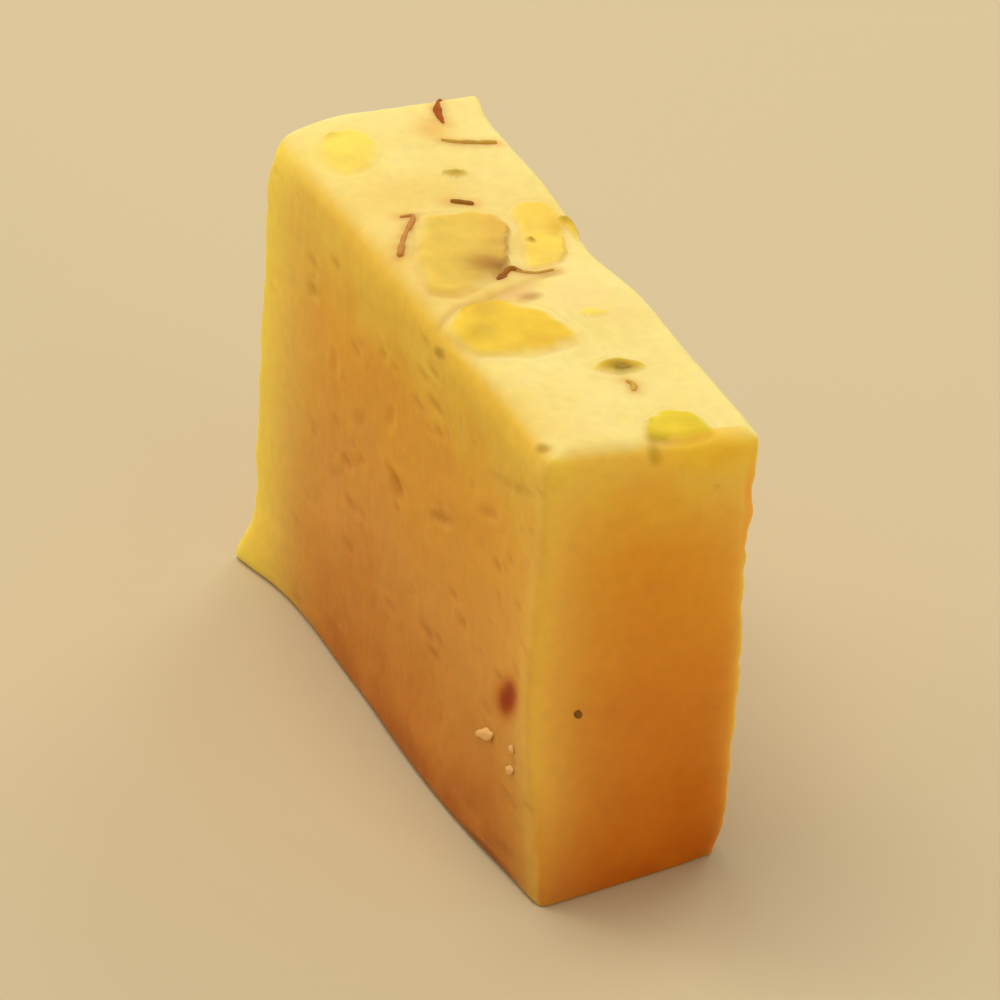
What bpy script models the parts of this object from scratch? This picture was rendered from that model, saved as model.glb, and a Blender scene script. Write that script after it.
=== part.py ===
"""One slab of saffron barfi, with pistachio slices and saffron threads pressed into its top.

Metres, +Z up. The slab stands on one of its long narrow faces, with the topped face upwards.
X runs across the slice, Y runs along it to the back, and the origin is under its middle.
"""

import math

import bmesh
import bpy
from mathutils import Vector, noise

MM = 0.001

# Driving sizes of the slab
SLAB_WIDTH = 18 * MM
SLAB_LENGTH = 54 * MM
SLAB_HEIGHT = 41 * MM

# Rounding of each edge: the top rim is soft on the left, and the cut at the front right is crisp.
# An edge that isn't named is a foot edge and takes the foot's radius.
# The signs name an edge as in the corner shifts below, with 0 for the way that it runs.
EDGE_RADII = {
    (-1, 0, +1): 2.3 * MM,
    (+1, 0, +1): 0.9 * MM,
    (0, -1, +1): 1.6 * MM,
    (0, +1, +1): 1.1 * MM,
    (-1, 0, -1): 0.7 * MM,
    (-1, -1, 0): 1.1 * MM,
    (-1, +1, 0): 1.0 * MM,
    (+1, -1, 0): 0.5 * MM,
    (+1, +1, 0): 0.8 * MM,
}
WIDEST_RADIUS = max(EDGE_RADII.values())
FOOT_RADIUS = 0.3 * MM
ROUNDING_STEPS = 4
FLOOR_TOLERANCE = 0.01 * MM
SMOOTH_UP_TO = math.radians(50)

# Spacing of the grid that carries the unevenness of the faces
GRID_STEP = 1.9 * MM

# How far each corner stands off a true box, because the cuts were made by hand.
# The signs say which corner: -1 is left, front or bottom, and +1 is right, back or top.
CORNER_SHIFTS = {
    (-1, -1, +1): Vector((-0.10, 0.45, 0.75)) * MM,
    (+1, -1, +1): Vector((0.10, -0.60, -0.65)) * MM,
    (+1, +1, +1): Vector((-0.35, 0.00, 0.60)) * MM,
    (-1, +1, +1): Vector((-0.30, 0.55, 1.05)) * MM,
    (-1, +1, -1): Vector((-0.55, 0.10, 0.0)) * MM,
    (-1, -1, -1): Vector((0.60, -1.35, 0.0)) * MM,
    (+1, -1, -1): Vector((-0.20, 0.60, 0.0)) * MM,
    (+1, +1, -1): Vector((0.00, 0.40, 0.0)) * MM,
}

# Swellings and hollows, in mm: the middle, the way the surface moves there, and the reach
SWELLINGS = {
    "belly beside the front left upright": ((-9, -27, 18), (-1.2, 0, 0), (8, 8, 11)),
    "smeared foot at the back left": ((-9, 27, 0), (-1.1, 1.2, 0), (3.5, 3.5, 3)),
    "worn back left corner": ((-9, 27, 41), (0.6, -0.6, -0.9), (4, 5, 4)),
    "lump in the middle of the top": ((4, -4, 41), (0, 0, 0.45), (5, 6, 6)),
    "hollow behind the lump": ((4, 8, 41), (0, 0, -0.35), (5, 6, 6)),
    "burr at the back right corner": ((9, 27, 41), (0.8, 0, 0), (3, 2.5, 2.5)),
    "dip below the right rim": ((9, 5, 28), (-0.5, 0, 0), (8, 14, 8)),
    "swell above the right foot": ((9, -6, 12), (0.4, 0, 0), (8, 15, 8)),
    "worn right rim behind the lump": ((9, 1.5, 41), (-1.0, 0, 0), (4, 5, 4)),
    "hollow in the front right upright": ((9, -27, 28), (-0.5, 0, 0), (4, 6, 4.5)),
    "dip under the front right corner": ((9, -27, 37.5), (-0.5, 0, 0), (3, 5, 2.5)),
    "worn foot corner at the front right": ((9, -27, 0), (-0.75, 0.35, 0), (3, 3, 2.2)),
    "hollow in the left foot towards the back": ((-9, 17, 0), (0.65, 0, 0), (6, 7, 6)),
    "swell of the left foot towards the front": ((-9, -11, 0), (-0.85, 0, 0), (5, 14, 5)),
}

# Long shallow waves over the cut faces, and the crumbling along the uprights
UNEVENNESS_SEED = 7
WAVE_DEPTH = 0.22 * MM
WAVE_LENGTH = 11 * MM
CRUMBLE_DEPTH = 0.30 * MM
CRUMBLE_LENGTH = 3.2 * MM
CRUMBLE_REACH = 2.4 * MM

# Pistachio slices pressed into the top, in mm: a smooth outline passes through the corners,
# and the last value is how proud the slice stands
PISTACHIO_SLICES = {
    "back": (
        [(-5.1, 24.4), (-2.2, 23.6), (-1.6, 21.0), (-3.4, 18.0), (-6.2, 17.1), (-7.6, 19.4), (-6.8, 22.6)],
        0.22,
    ),
    "broad one left of the middle": (
        [(-3.6, 9.5), (0.0, 9.6), (3.2, 9.1), (3.3, 6.8), (1.9, 3.8), (0.4, 0.9), (-1.0, -0.9),
         (-3.4, -2.3), (-6.2, -3.2), (-7.7, -1.4), (-7.2, 2.0), (-5.6, 5.6)],
        0.55,
    ),
    "right of the middle": (
        [(4.3, 9.2), (6.1, 10.2), (7.9, 9.5), (8.3, 7.2), (7.6, 4.4), (6.4, 1.5), (4.1, -0.4), (1.6, -0.3),
         (2.1, 1.9), (3.2, 4.5), (4.0, 6.8)],
        0.22,
    ),
    "golden one by the left rim": (
        [(-8.8, -6.6), (-6.6, -5.1), (-4.2, -4.4), (-1.6, -5.2), (0.3, -7.4), (1.0, -11.3), (-1.6, -12.4),
         (-4.9, -13.0), (-7.4, -12.0), (-8.8, -9.2)],
        0.35,
    ),
    "small one with a dark heart": (
        [(-0.2, -15.4), (1.4, -14.4), (3.0, -14.5), (4.5, -15.8), (3.2, -16.5), (1.2, -16.6)],
        0.25,
    ),
    "front rim": (
        [(0.1, -24.3), (1.5, -22.6), (3.3, -22.1), (4.9, -23.4), (5.5, -25.0), (5.0, -26.3), (2.6, -26.7),
         (0.2, -26.4), (-0.5, -25.5)],
        0.30,
    ),
    "chip behind the middle": ([(1.3, 15.5), (2.6, 15.9), (3.6, 15.1), (2.2, 14.6)], 0.22),
    "chip at the right rim": (
        [(7.8, 6.9), (8.4, 7.4), (8.9, 6.6), (8.9, 4.8), (8.6, 3.3), (8.1, 4.4)],
        0.30,
    ),
    "streak on the lump": ([(2.2, -7.8), (3.6, -7.3), (5.0, -8.1), (3.2, -8.6)], 0.20),
    "speck on the right slice": ([(3.6, 4.4), (4.3, 4.8), (4.7, 4.1), (4.0, 3.5)], 0.40),
}
SLICE_DEPTH = 0.8 * MM
SLICE_CORNER_STEPS = 3
NARROWEST_RING = 0.4 * MM

# The rings of a slice from below to above: the share of its outline, and of its depth or height.
# No ring lies at the height of the top itself, so that the side of a slice crosses it steeply.
SLICE_PROFILE = [
    (0.45, -1.0),
    (0.80, -0.9),
    (0.97, -0.5),
    (1.00, 0.45),
    (0.93, 0.90),
    (0.63, 1.0),
    (0.31, 1.0),
]

# Saffron threads, half sunk in the top, in mm: the points that each passes through,
# with its radius there as the last value
SAFFRON_THREADS = {
    "back": [(6.3, 27.4, 0.18), (5.4, 25.8, 0.18), (4.8, 24.2, 0.42), (4.6, 22.6, 0.18)],
    "across the back": [(3.4, 20.4, 0.16), (4.4, 19.8, 0.20), (5.8, 19.3, 0.22), (7.7, 18.8, 0.24)],
    "short": [(0.2, 11.4, 0.22), (1.0, 11.1, 0.34), (2.0, 10.7, 0.20)],
    "hooked": [
        (-5.0, 9.8, 0.16), (-3.9, 9.7, 0.24), (-4.8, 8.3, 0.26), (-5.9, 6.8, 0.24), (-7.4, 4.2, 0.34),
    ],
    "at the corner of the broad slice": [
        (-1.3, -1.1, 0.34), (0.1, 0.0, 0.32), (0.9, -0.7, 0.22), (1.9, -1.2, 0.18), (3.4, -1.1, 0.16),
    ],
    "front": [(1.7, -17.6, 0.18), (2.0, -18.3, 0.26), (1.6, -19.2, 0.18)],
}
THREAD_TIP = 0.7
THREAD_SIDES = 6
THREAD_STEPS = 3


def clear_scene():
    for obj in list(bpy.data.objects):
        bpy.data.objects.remove(obj)


def saffron_khoya():
    """Cooked milk solids with saffron: a pale golden yellow, soft and slightly waxy."""
    finish = bpy.data.materials.new("saffron_khoya")
    finish.use_nodes = True
    shader = finish.node_tree.nodes["Principled BSDF"]
    shader.inputs["Base Color"].default_value = (0.89, 0.66, 0.25, 1.0)
    shader.inputs["Roughness"].default_value = 0.5
    shader.inputs["Metallic"].default_value = 0.0
    return finish


def corner_shift(point):
    """The corner shifts, blended evenly across the box."""
    share = Vector((
        point.x / SLAB_WIDTH * 2,
        point.y / SLAB_LENGTH * 2,
        point.z / SLAB_HEIGHT * 2 - 1,
    ))
    total = Vector()
    for signs, shift in CORNER_SHIFTS.items():
        weight = 1.0
        for axis, sign in enumerate(signs):
            weight *= (1 + sign * share[axis]) / 2
        total += shift * weight
    return total


def swelling(point):
    """Smooth bulges and hollows, each strongest at its middle and gone past its reach."""
    total = Vector()
    for middle, push, reach in SWELLINGS.values():
        away = Vector((point[axis] / MM - middle[axis]) / reach[axis] for axis in range(3))
        total += Vector(push) * MM * math.exp(-away.length_squared)
    return total


def cut_waves(point):
    """Shallow waves all over, with a crumbling that shows only along the four uprights."""
    wave = noise.noise_vector(point / WAVE_LENGTH) * WAVE_DEPTH
    to_upright = math.hypot(
        SLAB_WIDTH / 2 - abs(point.x),
        SLAB_LENGTH / 2 - abs(point.y),
    )
    nearness = max(0.0, 1 - to_upright / CRUMBLE_REACH)
    return wave + noise.noise_vector(point / CRUMBLE_LENGTH) * CRUMBLE_DEPTH * nearness


def uneven(point):
    """Where a point of the true box lies in the hand-cut slab. The foot stays flat."""
    moved = point + corner_shift(point) + swelling(point) + cut_waves(point)
    rise = min(1.0, max(0.0, point.z / (2 * FOOT_RADIUS)))
    moved.z = point.z + (moved.z - point.z) * rise
    return moved


def object_from(name, bm, finish, collection):
    """An object of triangles, so that each face stays flat however its points have moved."""
    bmesh.ops.triangulate(bm, faces=bm.faces)
    mesh = bpy.data.meshes.new(name)
    bm.to_mesh(mesh)
    bm.free()
    mesh.materials.append(finish)
    obj = bpy.data.objects.new(name, mesh)
    collection.objects.link(obj)
    return obj


def apply_modifiers(obj):
    graph = bpy.context.evaluated_depsgraph_get()
    mesh = bpy.data.meshes.new_from_object(obj.evaluated_get(graph))
    obj.modifiers.clear()
    obj.data = mesh


def true_box():
    """The box before any unevenness, with a bevel weight on each edge for its own rounding."""
    bm = bmesh.new()
    bmesh.ops.create_cube(bm, size=1)
    bmesh.ops.scale(bm, vec=(SLAB_WIDTH, SLAB_LENGTH, SLAB_HEIGHT), verts=bm.verts)
    bmesh.ops.translate(bm, vec=(0, 0, SLAB_HEIGHT / 2), verts=bm.verts)
    weights = bm.edges.layers.float.new("bevel_weight_edge")
    for edge in bm.edges:
        middle = (edge.verts[0].co + edge.verts[1].co) / 2 - Vector((0, 0, SLAB_HEIGHT / 2))
        signs = tuple(round(math.copysign(1, place)) if abs(place) > MM else 0 for place in middle)
        edge[weights] = EDGE_RADII.get(signs, FOOT_RADIUS) / WIDEST_RADIUS
    return bm


def grid_faces(bm):
    """Cuts the long edges into grid steps, one direction after the other."""
    for axis, size in enumerate((SLAB_WIDTH, SLAB_LENGTH, SLAB_HEIGHT)):
        along = [e for e in bm.edges if abs(e.verts[0].co[axis] - e.verts[1].co[axis]) > size / 2]
        cuts = round(size / GRID_STEP) - 1
        bmesh.ops.subdivide_edges(bm, edges=along, cuts=cuts, use_grid_fill=True)


def round_edges(box):
    """The true box with each edge rounded by its own radius."""
    mesh = bpy.data.meshes.new("true_box")
    box.to_mesh(mesh)
    helper = bpy.data.objects.new("true_box", mesh)
    bpy.context.scene.collection.objects.link(helper)
    rounding = helper.modifiers.new("rounding", "BEVEL")
    rounding.limit_method = "WEIGHT"
    rounding.width = WIDEST_RADIUS
    rounding.segments = ROUNDING_STEPS
    rounding.use_clamp_overlap = False
    apply_modifiers(helper)
    box.clear()
    box.from_mesh(helper.data)
    bpy.data.objects.remove(helper)


def make_slab(finish, collection):
    bm = true_box()
    round_edges(bm)
    grid_faces(bm)
    foot = [f for f in bm.faces if all(vertex.co.z < FLOOR_TOLERANCE for vertex in f.verts)]
    bmesh.ops.dissolve_faces(bm, faces=foot, use_verts=False)
    for vertex in bm.verts:
        vertex.co = uneven(vertex.co)
    return object_from("barfi", bm, finish, collection)


def over_rim(place, half, radius):
    """Carries a distance along the flat top on round the rim and down the face beyond it.

    It gives the place across, the drop, and the angle by which the surface has turned.
    """
    past = abs(place) - (half - radius)
    if past <= 0:
        return place, 0.0, 0.0
    angle = min(past / radius, math.pi / 2)
    across = half - radius + radius * math.sin(angle)
    drop = radius * (1 - math.cos(angle)) + past - angle * radius
    return math.copysign(across, place), drop, math.copysign(angle, place)


def lay_on_top(bm):
    """Drapes what was modelled flat at z = 0 over the top, its rim and its unevenness."""
    for vertex in bm.verts:
        x, y, height = vertex.co
        side_rim = EDGE_RADII[(-1 if x < 0 else 1, 0, 1)]
        end_rim = EDGE_RADII[(0, -1 if y < 0 else 1, 1)]
        across, side_drop, side_angle = over_rim(x, SLAB_WIDTH / 2, side_rim)
        along, end_drop, end_angle = over_rim(y, SLAB_LENGTH / 2, end_rim)
        vertex.co = uneven(Vector((
            across + height * math.sin(side_angle),
            along + height * math.sin(end_angle),
            SLAB_HEIGHT - side_drop - end_drop + height * math.cos(side_angle) * math.cos(end_angle),
        )))
    bmesh.ops.recalc_face_normals(bm, faces=bm.faces)


def body_from_rings(rings):
    """A closed body through rings of points, each end closed by a fan round its middle."""
    bm = bmesh.new()
    loops = []
    for ring in rings:
        corners = [bm.verts.new(point) for point in ring]
        loops.append([bm.edges.new((corners[i - 1], corners[i])) for i in range(len(corners))])
    for first, second in zip(loops, loops[1:]):
        bmesh.ops.bridge_loops(bm, edges=first + second)
    ends = bmesh.ops.holes_fill(bm, edges=loops[0] + loops[-1])["faces"]
    bmesh.ops.poke(bm, faces=ends)
    lay_on_top(bm)
    return bm


def smooth_line(corners, steps, closed):
    """Points read from a smooth curve through the corners, of as many numbers as a corner has."""
    if closed:
        ends = [corners[-1], *corners, corners[0], corners[1]]
    else:
        ends = [corners[0], *corners, corners[-1]]
    points = []
    for stretch in zip(ends, ends[1:], ends[2:], ends[3:]):
        before, start, end, after = (Vector(corner) for corner in stretch)
        for step in range(steps):
            t = step / steps
            points.append(
                start
                + (end - before) * (t / 2)
                + (before * 2 - start * 5 + end * 4 - after) * (t**2 / 2)
                + (start * 3 - before - end * 3 + after) * (t**3 / 2)
            )
    if not closed:
        points.append(Vector(corners[-1]))
    return [point * MM for point in points]


def pistachio_slice(corners, proud):
    """A thin slice with a rounded edge, whose lower part is sunk in the khoya."""
    outline = smooth_line(corners, SLICE_CORNER_STEPS, closed=True)
    middle = sum(outline, Vector((0, 0))) / len(outline)
    narrowest = min((point - middle).length for point in outline)
    rings = []
    for spread, climb in SLICE_PROFILE:
        if spread * narrowest < NARROWEST_RING:
            continue
        height = climb * (proud * MM if climb > 0 else SLICE_DEPTH)
        rings.append([(*middle.lerp(point, spread), height) for point in outline])
    return body_from_rings(rings)


def saffron_thread(route):
    """A thin thread, thicker where it is knotted, with its axis in the surface of the top."""
    points = smooth_line(route, THREAD_STEPS, closed=False)
    last = len(points) - 1
    rings = []
    for index, point in enumerate(points):
        ahead = points[min(index + 1, last)] - points[max(index - 1, 0)]
        side = Vector((-ahead.y, ahead.x)).normalized()
        radius = point.z * (THREAD_TIP if index in (0, last) else 1)
        ring = []
        for corner in range(THREAD_SIDES):
            angle = 2 * math.pi * (corner + 0.5) / THREAD_SIDES
            flat = point.xy + side * (radius * math.cos(angle))
            ring.append((*flat, radius * math.sin(angle)))
        rings.append(ring)
    return body_from_rings(rings)


def fuse_toppings(slab, finish):
    """One union of the slab with all that is pressed into its top."""
    toppings = bpy.data.collections.new("toppings")
    bpy.context.scene.collection.children.link(toppings)
    for name, (corners, proud) in PISTACHIO_SLICES.items():
        object_from("pistachio " + name, pistachio_slice(corners, proud), finish, toppings)
    for name, route in SAFFRON_THREADS.items():
        object_from("saffron " + name, saffron_thread(route), finish, toppings)
    union = slab.modifiers.new("toppings", "BOOLEAN")
    union.operation = "UNION"
    union.operand_type = "COLLECTION"
    union.collection = toppings
    union.solver = "MANIFOLD"
    apply_modifiers(slab)
    for obj in list(toppings.objects):
        bpy.data.objects.remove(obj)
    bpy.data.collections.remove(toppings)


def centre_over_origin(slab):
    """Slides the slab until the origin lies under the middle of its box."""
    corners = [Vector(corner) for corner in slab.bound_box]
    middle = sum(corners, Vector()) / len(corners)
    for vertex in slab.data.vertices:
        vertex.co.x -= middle.x
        vertex.co.y -= middle.y


def main():
    clear_scene()
    noise.seed_set(UNEVENNESS_SEED)
    finish = saffron_khoya()
    slab = make_slab(finish, bpy.context.scene.collection)
    fuse_toppings(slab, finish)
    centre_over_origin(slab)
    slab.data.shade_smooth()
    slab.data.set_sharp_from_angle(angle=SMOOTH_UP_TO)


main()
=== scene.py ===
import math
import random

import bmesh
import bpy
from mathutils import Matrix, Vector, kdtree, noise


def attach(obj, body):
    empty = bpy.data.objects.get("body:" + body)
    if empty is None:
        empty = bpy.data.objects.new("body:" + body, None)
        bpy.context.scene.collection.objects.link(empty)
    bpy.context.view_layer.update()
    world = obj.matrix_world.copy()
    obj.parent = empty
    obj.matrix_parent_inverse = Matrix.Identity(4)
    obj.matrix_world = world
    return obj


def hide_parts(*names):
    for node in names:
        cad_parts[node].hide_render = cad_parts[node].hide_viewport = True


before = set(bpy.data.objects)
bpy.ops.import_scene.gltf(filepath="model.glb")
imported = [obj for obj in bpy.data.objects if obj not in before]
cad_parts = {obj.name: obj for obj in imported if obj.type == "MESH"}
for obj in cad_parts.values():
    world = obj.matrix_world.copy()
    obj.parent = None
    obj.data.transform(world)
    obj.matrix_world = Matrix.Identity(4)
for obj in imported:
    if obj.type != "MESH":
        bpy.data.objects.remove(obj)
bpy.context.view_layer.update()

# One slab of saffron barfi, hand cut, with pistachio slices and saffron threads pressed into its top.
# The settings are in mm and degrees, in the frame of the slab before its unevenness.
mm = 0.001
seed = 7


# Small helpers

def deselectAll():
    if bpy.context.object and bpy.context.object.mode != "OBJECT":
        bpy.ops.object.mode_set(mode="OBJECT")
    bpy.ops.object.select_all(action="DESELECT")


def useOnly(piece):
    deselectAll()
    piece.select_set(True)
    bpy.context.view_layer.objects.active = piece


def applyModifier(piece, kind, **settings):
    useOnly(piece)
    modifier = piece.modifiers.new(kind.lower(), kind)
    for name, value in settings.items():
        setattr(modifier, name, value)
    bpy.ops.object.modifier_apply(modifier=modifier.name)


def selectInEdit(piece, mode, wanted):
    # opens edit mode with only the wanted vertices, edges or faces selected
    useOnly(piece)
    bpy.ops.object.mode_set(mode="EDIT")
    bpy.ops.mesh.select_mode(type=mode)
    bpy.ops.mesh.select_all(action="DESELECT")
    editMesh = bmesh.from_edit_mesh(piece.data)
    parts = {"VERT": editMesh.verts, "EDGE": editMesh.edges, "FACE": editMesh.faces}[mode]
    for part in parts:
        if wanted(part):
            part.select_set(True)
    bmesh.update_edit_mesh(piece.data)


def joinPieces(pieces, name):
    useOnly(pieces[0])
    for piece in pieces:
        piece.select_set(True)
    if len(pieces) > 1:
        bpy.ops.object.join()
    joined = bpy.context.object
    joined.name = name
    bpy.ops.object.transform_apply(location=True, rotation=True, scale=True)
    return joined


def dress(piece, finish, body="root"):
    # gives a finished piece its material and lets it ride on the slab's body
    piece.data.materials.clear()
    piece.data.materials.append(finish)
    piece.data.shade_smooth()
    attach(piece, body)


def linear(hexColour):
    # an sRGB hex value as the linear colour that a shader takes
    colour = []
    for start in (1, 3, 5):
        value = int(hexColour[start:start + 2], 16) / 255
        colour.append(value / 12.92 if value <= 0.04045 else ((value + 0.055) / 1.055) ** 2.4)
    return (*colour, 1.0)


def addNode(tree, kind, settings=None, links=None):
    # one node, with its own settings, its sockets' values and what is plugged into it
    node = tree.nodes.new("ShaderNode" + kind)
    for name, value in (settings or {}).items():
        if name == "stops":
            ramp = node.color_ramp.elements
            while len(ramp) < len(value):
                ramp.new(0.5)
            for stop, (place, colour) in zip(ramp, value):
                stop.position = place
                stop.color = linear(colour)
        elif isinstance(name, int) or name in node.inputs:
            node.inputs[name].default_value = value
        else:
            setattr(node, name, value)
    for socket, source in (links or {}).items():
        tree.links.new(source, node.inputs[socket])
    return node


def smoothLine(corners, steps, closed):
    # points read from a smooth curve through the corners, of as many numbers as a corner has
    ends = [corners[-1], *corners, *corners[:2]] if closed else [corners[0], *corners, corners[-1]]
    points = []
    for stretch in zip(ends, ends[1:], ends[2:], ends[3:]):
        before, start, end, after = (Vector(corner) for corner in stretch)
        for step in range(steps):
            t = step / steps
            points.append(start + (end - before) * (t / 2)
                          + (before * 2 - start * 5 + end * 4 - after) * (t ** 2 / 2)
                          + (start * 3 - before - end * 3 + after) * (t ** 3 / 2))
    return points if closed else points + [Vector(corners[-1])]


def newFinish(name):
    finish = bpy.data.materials.new(name)
    finish.use_nodes = True
    tree = finish.node_tree
    return finish, tree, tree.nodes["Principled BSDF"]


def across(sizeInMm):
    # a pattern's scale on Object coordinates, from the real size of one of its grains
    return 1 / (sizeInMm * mm)


# The slab: the same shape as the part's, with the surface that a knife leaves in set khoya

slab = {
    "width": 18,
    "length": 54,
    "height": 41,
    "middle": (-0.509, -0.047),  # where the middle of its box lies, seen from the true box's
    "footRadius": 0.3,
    "edgeRadii": {
        (-1, 0, 1): 2.3,
        (1, 0, 1): 0.9,
        (0, -1, 1): 1.6,
        (0, 1, 1): 1.1,
        (-1, 0, -1): 0.7,
        (-1, -1, 0): 1.1,
        (-1, 1, 0): 1.0,
        (1, -1, 0): 0.5,
        (1, 1, 0): 0.8,
    },
    "cornerShifts": {  # how far each corner stands off the true box
        (-1, -1, 1): (-0.10, 0.45, 0.75),
        (1, -1, 1): (0.10, -0.60, -0.65),
        (1, 1, 1): (-0.35, 0.00, 0.60),
        (-1, 1, 1): (-0.30, 0.55, 1.05),
        (-1, 1, -1): (-0.55, 0.10, 0.0),
        (-1, -1, -1): (0.60, -1.35, 0.0),
        (1, -1, -1): (-0.20, 0.60, 0.0),
        (1, 1, -1): (0.00, 0.40, 0.0),
    },
    "swellings": [  # the middle, the push and the reach
        ((-9, -27, 18), (-1.2, 0, 0), (8, 8, 11)),  # belly beside the front left upright
        ((-9, 27, 0), (-1.1, 1.2, 0), (3.5, 3.5, 3)),  # smeared foot at the back left
        ((-9, 27, 41), (0.6, -0.6, -0.9), (4, 5, 4)),  # worn back left corner
        ((4, -4, 41), (0, 0, 0.45), (5, 6, 6)),  # lump in the middle of the top
        ((4, 8, 41), (0, 0, -0.35), (5, 6, 6)),  # hollow behind the lump
        ((9, 27, 41), (0.8, 0, 0), (3, 2.5, 2.5)),  # burr at the back right corner
        ((9, 5, 28), (-0.5, 0, 0), (8, 14, 8)),  # dip below the right rim
        ((9, -6, 12), (0.4, 0, 0), (8, 15, 8)),  # swell above the right foot
        ((9, 1.5, 41), (-1.0, 0, 0), (4, 5, 4)),  # worn right rim behind the lump
        ((9, -27, 28), (-0.5, 0, 0), (4, 6, 4.5)),  # hollow in the front right upright
        ((9, -27, 37.5), (-0.5, 0, 0), (3, 5, 2.5)),  # dip under the front right corner
        ((9, -27, 0), (-0.75, 0.35, 0), (3, 3, 2.2)),  # worn foot corner at the front right
        ((-9, 17, 0), (0.65, 0, 0), (6, 7, 6)),  # hollow in the left foot towards the back
        ((-9, -11, 0), (-0.85, 0, 0), (5, 14, 5)),  # swell of the left foot towards the front
    ],
    "waveDepth": 0.22,
    "waveLength": 11,
    "crumbleDepth": 0.30,
    "crumbleLength": 3.2,
    "crumbleReach": 2.4,
    "gridSteps": (1.0, 0.96, 1.6),  # across, along and up, before two rounds of subdivision
    "roundingSteps": 3,
    "pits": 520,  # over all the cut faces
    "pitRadii": (0.14, 0.50),
    "dents": [  # on the left cut face: place along and up, half sizes, turn and depth
        ((0.0, 22.8), (1.50, 0.50), 24, 0.45),
        ((-8.4, 24.3), (1.6, 0.35), -20, 0.28),
        ((9.4, 19.4), (0.9, 0.5), 0, 0.25),
        ((12.2, 27.1), (0.7, 0.8), 0, 0.22),
        ((17.0, 30.9), (0.9, 0.5), 20, 0.20),
        ((1.6, 27.8), (0.6, 0.9), 30, 0.20),
        ((6.6, 21.2), (0.8, 0.4), 0, 0.22),
        ((-16.5, 29.5), (1.7, 0.4), -24, 0.22),
        ((-3.0, 14.5), (0.9, 0.4), 10, 0.16),
        ((-12.6, 17.4), (0.9, 0.6), 0, 0.20),
    ],
    "burr": {"heights": (11, 39.5), "reach": 0.8, "size": 0.18, "spacing": 1.3},  # front right upright
    # how far the painted glow reaches from each edge, in mm
    "paintedGlowReach": {"leftOnEnd": 4.0, "rightOnEnd": 0.8, "topOnEnd": 3.5, "cornerAcross": 5.5,
                  "cornerDown": 11, "frontOnSide": 2.5, "backOnSide": 8.0, "topOnSide": 6.0},
    "mostPaintedGlowOnEnd": 0.8,
    "tones": [  # creamy and warm patches of the top: middle, reach and strength
        ((2.8, -5.0), 3.2, -0.8),
        ((6.5, 7.0), 5.0, 0.25),
        ((3.0, 3.6), 2.2, 0.55),
        ((3.4, 22.0), 1.8, 0.45),
        ((0.0, 13.0), 4.0, 0.50),
        ((-6.0, 13.0), 4.2, 0.50),
        ((-8.5, 4.5), 4.5, 0.65),
        ((-8.5, -2.5), 4.0, 0.60),
        ((-3.0, -4.0), 2.4, 0.85),
        ((1.0, -2.4), 2.2, 0.60),
        ((-9.0, -19.0), 3.6, 0.45),
        ((-6.0, -24.0), 3.0, 0.25),
    ],
}


def cornerShift(point):
    half = (slab["width"] / 2, slab["length"] / 2, slab["height"] / 2)
    share = (point.x / half[0], point.y / half[1], point.z / half[2] - 1)
    total = Vector()
    for signs, shift in slab["cornerShifts"].items():
        weight = 1.0
        for axis, sign in enumerate(signs):
            weight *= (1 + sign * share[axis]) / 2
        total += Vector(shift) * weight
    return total


def swelling(point):
    total = Vector()
    for middle, push, reach in slab["swellings"]:
        away = [(point[axis] - middle[axis]) / reach[axis] for axis in range(3)]
        total += Vector(push) * math.exp(-sum(step * step for step in away))
    return total


def cutWaves(point):
    wave = noise.noise_vector(point / slab["waveLength"]) * slab["waveDepth"]
    toUpright = math.hypot(slab["width"] / 2 - abs(point.x), slab["length"] / 2 - abs(point.y))
    nearness = max(0.0, 1 - toUpright / slab["crumbleReach"])
    return wave + noise.noise_vector(point / slab["crumbleLength"]) * slab["crumbleDepth"] * nearness


def uneven(point):
    # where a point of the true box lies in the hand-cut slab; the foot stays flat
    moved = point + cornerShift(point) + swelling(point) + cutWaves(point)
    rise = min(1.0, max(0.0, point.z / (2 * slab["footRadius"])))
    moved.z = point.z + (moved.z - point.z) * rise
    return moved


def inPlace(point):
    # from the slab's own mm to the part's frame in metres
    return Vector((point.x - slab["middle"][0], point.y - slab["middle"][1], point.z)) * mm


def overRim(place, half, radius):
    # carries a distance along the flat top on round the rim and down the face beyond it
    past = abs(place) - (half - radius)
    if past <= 0:
        return place, 0.0, 0.0
    angle = min(past / radius, math.pi / 2)
    out = half - radius + radius * math.sin(angle)
    drop = radius * (1 - math.cos(angle)) + past - angle * radius
    return math.copysign(out, place), drop, math.copysign(angle, place)


def onTop(x, y, height=0.0):
    # a place on the slab's top, or the given height above it
    sideRim = slab["edgeRadii"][(-1 if x < 0 else 1, 0, 1)]
    endRim = slab["edgeRadii"][(0, -1 if y < 0 else 1, 1)]
    xx, sideDrop, sideAngle = overRim(x, slab["width"] / 2, sideRim)
    yy, endDrop, endAngle = overRim(y, slab["length"] / 2, endRim)
    return uneven(Vector((
        xx + height * math.sin(sideAngle),
        yy + height * math.sin(endAngle),
        slab["height"] - sideDrop - endDrop + height * math.cos(sideAngle) * math.cos(endAngle),
    )))


def shareOf(value, low, high):
    # 0 below low, 1 above high, and a smooth step between
    step = min(1.0, max(0.0, (value - low) / (high - low)))
    return step * step * (3 - 2 * step)


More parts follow.
